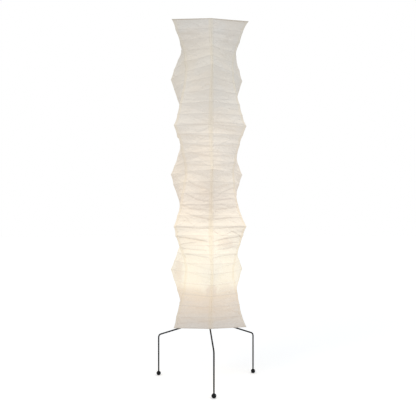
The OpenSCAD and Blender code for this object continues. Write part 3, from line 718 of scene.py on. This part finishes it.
def paper_colour(tree, marks):
    """Two whites in patches, with the marks over them."""
    patch = remap(tree, place_noise(tree, scale=5.5, detail=2, stretch=(1, 1, 1.6)), 0.42, 0.60)
    # each mark shows by its share, in its own colour
    return layered(tree, mix_colour(tree, patch, COOL_PAPER, WARM_PAPER), [
        (marks["fibres"], 0.30, (0.585, 0.572, 0.550)),
        (marks["overlap"], 0.90, (0.622, 0.600, 0.550)),
        (marks["overlap_edge"], 0.45, (0.525, 0.490, 0.410)),
        (marks["crest"], 0.33, (0.520, 0.475, 0.370)),
        # the ribs' painted shadow
        (marks["rib"], 0.14, (0.470, 0.440, 0.400)),
        (marks["speck"], 0.70, (0.300, 0.240, 0.180)),
        (marks["hem"], 0.70, (0.480, 0.440, 0.385)),
    ])


def let_through(tree, marks):
    """The colour that double paper, painted rib shadows and spots of painted shade leave of the light in
    it.
    """
    layers = [(marks["overlap"], 0.42, (0.86, 0.75, 0.56))]
    # the spots of painted shade
    for centre, size, share in PAINTED_SHADE_SPOTS:
        layers.append((spot_of(tree, centre, size), share, PAINTED_SHADE_TINT))
    layers += [
        (marks["hem"], 0.50, (0.50, 0.45, 0.40)),
        # the ribs' painted shadow on the light
        (marks["rib"], 0.20, (0.30, 0.25, 0.20)),
        (marks["fibres"], 0.12, (0.50, 0.45, 0.38)),
    ]
    return layered(tree, (1, 1, 1), layers)


def paper_material():
    """White lantern paper, lit from inside by the bulb."""
    m, tree, bsdf = material("lantern_paper")
    place = tree.nodes.new("ShaderNodeUVMap")
    place.uv_map = "paper_place"
    to_seam, to_rib, _ = split_xyz(tree, place.outputs["UV"])
    inside = math_node(tree, "LESS_THAN", to_seam, 0.0)
    normal, fibres = fine_crumple(tree)
    light = light_in_paper(tree, normal, inside)
    marks = paper_marks(tree, math_node(tree, "ABSOLUTE", to_seam), to_rib, fibres)
    tree.links.new(normal, bsdf.inputs["Normal"])
    tree.links.new(paper_colour(tree, marks), bsdf.inputs["Base Color"])
    # the bulb's light through the paper is painted on as emission
    shine = mix_colour(tree, 1.0, light, let_through(tree, marks), "MULTIPLY")
    tree.links.new(shine, bsdf.inputs["Emission Color"])
    bsdf.inputs["Emission Strength"].default_value = 1.0
    bsdf.inputs["Roughness"].default_value = 0.85
    bsdf.inputs["Specular IOR Level"].default_value = 0.2
    return m


# --- the other materials -----------------------------------------------------------------------
def painted(name, colour, roughness, grain, depth, gloss=0.5, worn=None):
    """Paint or plastic with a fine uneven skin, and rubbed places where a worn colour is given."""
    m, tree, bsdf = material(name)
    lighter = tuple(min(1.0, c * 1.35 + 0.004) for c in colour)
    tone = remap(tree, place_noise(tree, grain * 0.12, detail=3), 0.35, 0.7)
    base = mix_colour(tree, tone, colour, lighter)
    if worn is not None:
        rubbed = remap(tree, place_noise(tree, grain * 0.4, detail=4), 0.66, 0.74)
        base = layered(tree, base, [(rubbed, 0.6, worn)])
    skin = bump(tree, place_noise(tree, grain, detail=2), strength=0.35, distance=depth)
    dull = place_noise(tree, grain * 0.3, detail=3)
    dull = remap(tree, dull, 0.3, 0.7, to_low=roughness - 0.05, to_high=roughness + 0.07)
    tree.links.new(base, bsdf.inputs["Base Color"])
    tree.links.new(skin, bsdf.inputs["Normal"])
    tree.links.new(dull, bsdf.inputs["Roughness"])
    bsdf.inputs["Specular IOR Level"].default_value = gloss
    return m


def turned(name, colour, roughness):
    """Metal with the fine rings of turning or drawing."""
    m, tree, bsdf = material(name)
    rings = place_noise(tree, scale=14, detail=2, stretch=(1, 1, 60))
    stain = place_noise(tree, scale=70, detail=3)
    darker = tuple(c * 0.7 for c in colour)
    base = mix_colour(tree, remap(tree, stain, 0.4, 0.75), colour, darker)
    dull = remap(tree, stain, 0.3, 0.7, to_low=roughness, to_high=roughness + 0.15)
    skin = bump(tree, rings, strength=0.3, distance=0.0002)
    tree.links.new(base, bsdf.inputs["Base Color"])
    tree.links.new(skin, bsdf.inputs["Normal"])
    tree.links.new(dull, bsdf.inputs["Roughness"])
    bsdf.inputs["Metallic"].default_value = 1.0
    return m


def ceramic(name, colour):
    """Glazed ceramic, a little cloudy."""
    m, tree, bsdf = material(name)
    cloud = remap(tree, place_noise(tree, scale=90, detail=4), 0.4, 0.7)
    darker = tuple(c * 0.9 for c in colour)
    skin = bump(tree, place_noise(tree, scale=600, detail=2), strength=0.15, distance=0.0002)
    tree.links.new(mix_colour(tree, cloud, colour, darker), bsdf.inputs["Base Color"])
    tree.links.new(skin, bsdf.inputs["Normal"])
    bsdf.inputs["Roughness"].default_value = 0.32
    bsdf.inputs["Coat Weight"].default_value = 0.4
    return m


def glowing(name):
    """The bulb's frosted dome, brighter towards its top than at its rim."""
    m, tree, bsdf = material(name)
    _, _, z = split_xyz(tree, position(tree))
    frost = place_noise(tree, scale=500, detail=2)
    tone = remap(tree, frost, 0.3, 0.7)
    base = mix_colour(tree, tone, (0.40, 0.38, 0.34), (0.36, 0.34, 0.30))
    upwards = remap(tree, z, DOME_RIM_Z, DOME_BRIGHT_Z)
    shine = mix_colour(tree, upwards, (0.60, 0.36, 0.16), (1.0, 0.80, 0.52))
    skin = bump(tree, frost, strength=0.2, distance=0.0002)
    tree.links.new(base, bsdf.inputs["Base Color"])
    tree.links.new(shine, bsdf.inputs["Emission Color"])
    tree.links.new(skin, bsdf.inputs["Normal"])
    bsdf.inputs["Emission Strength"].default_value = 0.72
    bsdf.inputs["Roughness"].default_value = 0.5
    return m


# Painted takes a roughness, the grain in cells per metre and the grain's depth in metres.
by_slot = {
    "paper": paper_material(),
    "black_rod": painted("black_rod_paint", (0.009, 0.009, 0.010), 0.48, 380, 0.00025, gloss=0.05),
    "black_steel": painted(
        "black_steel_paint", (0.015, 0.015, 0.016), 0.42, 300, 0.0003, worn=(0.10, 0.10, 0.10)),
    "foot_ball": painted("ball_foot_gloss", (0.004, 0.004, 0.005), 0.26, 220, 0.0002, gloss=0.16),
    "zinc_steel": turned("zinc_steel", (0.62, 0.63, 0.65), 0.30),
    "bush_plastic": painted("bush_plastic", (0.020, 0.020, 0.020), 0.50, 520, 0.0003),
    "holder_plastic": painted("holder_plastic", (0.018, 0.018, 0.019), 0.40, 460, 0.0003),
    "holder_ceramic": ceramic("holder_ceramic", (0.80, 0.76, 0.68)),
    "holder_brass": turned("brass", (0.78, 0.57, 0.25), 0.28),
    "bulb_diffuser": glowing("bulb_diffuser"),
    "bulb_housing": painted("bulb_housing", (0.78, 0.77, 0.74), 0.42, 420, 0.0002),
    "bulb_cap_metal": turned("bulb_cap_metal", (0.74, 0.74, 0.74), 0.24),
    "bulb_insulator": ceramic("bulb_insulator", (0.03, 0.03, 0.035)),
    "bulb_tip": turned("bulb_tip", (0.66, 0.66, 0.66), 0.35),
    "shade_wire": painted(
        "shade_wire_paint", (0.62, 0.60, 0.56), 0.45, 600, 0.0002, worn=(0.40, 0.37, 0.33)),
    "rib_wire": painted("rib_wire_coat", (0.56, 0.52, 0.45), 0.60, 700, 0.0002, worn=(0.42, 0.37, 0.30)),
}
for part in frame["record"]["subparts"]:
    obj = nodes[part["node"]]
    obj.data.materials.clear()
    obj.data.materials.append(by_slot[part["material_slot"]])

# --- pieces ------------------------------------------------------------------------------------
for corner in range(SIDES):
    sheet, mean_w = gore(corner)
    sheet.data.materials.append(by_slot["paper"])
    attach(sheet, "shade")
    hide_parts("paper_gore_%d" % (corner + 1))
    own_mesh(sheet)


def ring_path(ring):
    """The middle line of a wire bent to the six corners of a ring, just inside the paper."""
    r = ring_r[ring]
    a, b = r[0], r[1]
    # how far the ring's first side is from the axis
    apothem = a * b * math.sin(math.pi / 3) / math.sqrt(a * a + b * b - a * b)
    shrink = 1 - (PAPER_T + GLUE_GAP + RIB_D / 2) / apothem
    corners = corner_dir[:, :2] * r[:, None] * shrink
    path = []
    for i in range(SIDES):
        here, before, after = corners[i], corners[i - 1], corners[(i + 1) % SIDES]
        back = (before - here) / np.linalg.norm(before - here)
        ahead = (after - here) / np.linalg.norm(after - here)
        half = math.acos(float(np.clip(back @ ahead, -1, 1))) / 2
        reach = RIB_BEND / math.tan(half)
        # the bend round the corner, and then the straight to the next one
        for f in np.linspace(0, 1, 5):
            path.append(here + back * reach * (1 - f) ** 2 + ahead * reach * f ** 2)
        for f in (0.25, 0.5, 0.75):
            path.append(here * (1 - f) + after * f)
    return np.array(path)


def level_wire(path, z):
    """A closed round wire on a level path: its points and faces."""
    along = np.roll(path, -1, axis=0) - np.roll(path, 1, axis=0)
    along = along / np.linalg.norm(along, axis=1, keepdims=True)
    out = np.stack([along[:, 1], -along[:, 0]], axis=1)
    angle = 2 * np.pi * np.arange(RIB_FACES) / RIB_FACES
    points = np.zeros((len(path), RIB_FACES, 3))
    points[:, :, :2] = path[:, None] + out[:, None] * (np.cos(angle) * RIB_D / 2)[None, :, None]
    points[:, :, 2] = z + (np.sin(angle) * RIB_D / 2)[None, :]
    here = np.arange(len(path) * RIB_FACES).reshape(len(path), RIB_FACES)
    up, ahead = np.roll(here, -1, axis=1), np.roll(here, -1, axis=0)
    faces = np.stack([ahead, np.roll(ahead, -1, axis=1), up, here], axis=-1).reshape(-1, 4)
    return points.reshape(-1, 3), faces


for tier, gaps in enumerate(RIB_GAPS):
    # the ring at the tier's upper end, above its ribs
    upper = sum(RIB_GAPS[:tier])
    points, faces, count = [], [], 0
    for ring in range(upper + 1, upper + gaps):
        wire_points, wire_faces = level_wire(ring_path(ring), ring_z[ring])
        points.append(wire_points)
        faces.append(wire_faces + count)
        count += len(wire_points)
    ribs = mesh_object("rib_wires_tier_%d" % (tier + 1), np.concatenate(points), np.concatenate(faces))
    ribs.data.materials.append(by_slot["rib_wire"])
    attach(ribs, "shade")
    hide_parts("ribs_tier_%d" % (tier + 1))
    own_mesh(ribs)


# --- floor and light ---------------------------------------------------------------------------
def studio_floor():
    """A wide pale floor that is plain white to the camera, apart from the lamp's shadow."""
    bpy.ops.mesh.primitive_plane_add(size=60, location=(0, 0, 0))
    floor = bpy.context.object
    floor.name = "floor"
    m, tree, bsdf = material("studio_floor")
    bsdf.inputs["Base Color"].default_value = (0.86, 0.86, 0.86, 1)
    bsdf.inputs["Roughness"].default_value = 0.95
    bsdf.inputs["Specular IOR Level"].default_value = 0.0
    # the light falls off with distance, and white that only the camera sees makes up for it
    away = vector_node(tree, "LENGTH", position(tree))
    lift = remap(tree, away, low=0.4, high=6.0, to_low=0.27, to_high=0.37)
    seen = tree.nodes.new("ShaderNodeLightPath").outputs["Is Camera Ray"]
    white = tree.nodes.new("ShaderNodeEmission")
    tree.links.new(times(tree, seen, lift), white.inputs["Strength"])
    both = tree.nodes.new("ShaderNodeAddShader")
    feed(tree, both.inputs, (bsdf.outputs[0], white.outputs[0]))
    tree.links.new(both.outputs[0], tree.nodes["Material Output"].inputs["Surface"])
    floor.data.materials.append(m)


def studio_world():
    """Soft, slightly cool light from all round, in front of plain white."""
    world = bpy.data.worlds.new("studio")
    bpy.context.scene.world = world
    world.use_nodes = True
    tree = world.node_tree
    plain = tree.nodes["Background"]
    feed(tree, plain.inputs, ((0.96, 0.98, 1.0, 1), 0.79))
    white = tree.nodes.new("ShaderNodeBackground")
    feed(tree, white.inputs, ((1, 1, 1, 1), 1.0))
    seen = tree.nodes.new("ShaderNodeLightPath").outputs["Is Camera Ray"]
    mix = tree.nodes.new("ShaderNodeMixShader")
    feed(tree, mix.inputs, (seen, plain.outputs[0], white.outputs[0]))
    tree.links.new(mix.outputs[0], tree.nodes["World Output"].inputs["Surface"])


def softbox(name, at, aim, size, power, colour=(1, 1, 1)):
    """A square area lamp that faces its aim, with its power in watts."""
    data = bpy.data.lights.new(name, "AREA")
    data.shape = "RECTANGLE"
    data.size, data.size_y = size, size
    data.energy = power
    data.color = colour
    obj = bpy.data.objects.new(name, data)
    bpy.context.scene.collection.objects.link(obj)
    direction = np.array(aim, float) - np.array(at, float)
    direction /= np.linalg.norm(direction)
    obj.location = at
    obj.rotation_euler = (math.acos(-direction[2]), 0, math.atan2(direction[0], -direction[1]) + math.pi)


studio_floor()
studio_world()
softbox("key_softbox", (-2.6, -2.8, 3.0), (0, 0, 1.1), size=1.4, power=29, colour=(1.0, 0.94, 0.84))
softbox("fill_softbox", (3.2, -2.4, 2.2), (0, 0, 1.0), size=1.4, power=20.5, colour=(0.86, 0.945, 1.0))
softbox("top_softbox", (0, -1.4, 4.4), (0, 0, 0.8), size=1.6, power=8)

# --- camera: level, and fitted to the photograph -----------------------------------------------
PHOTO_W = 416
FOCAL_PX = 594.8
# The pixel that the camera points at, whose row is the horizon
AIM_X, AIM_Y = 208.5, 221.8
CAMERA_TURN = math.radians(-4.9)
CAMERA_DISTANCE, CAMERA_Z = 3.2416, 0.8694
SENSOR_MM = 36.0

camera_data = bpy.data.cameras.new("photo_camera")
camera_data.sensor_width = SENSOR_MM
camera_data.lens = FOCAL_PX / PHOTO_W * SENSOR_MM
camera_data.shift_x = -(AIM_X - PHOTO_W / 2) / PHOTO_W
camera_data.shift_y = (AIM_Y - PHOTO_W / 2) / PHOTO_W
camera = bpy.data.objects.new("photo_camera", camera_data)
bpy.context.scene.collection.objects.link(camera)
camera.location = (
    math.sin(CAMERA_TURN) * CAMERA_DISTANCE, -math.cos(CAMERA_TURN) * CAMERA_DISTANCE, CAMERA_Z)
camera.rotation_euler = (math.pi / 2, 0, CAMERA_TURN)
bpy.context.scene.camera = camera
bpy.context.scene.view_settings.view_transform = "Standard"
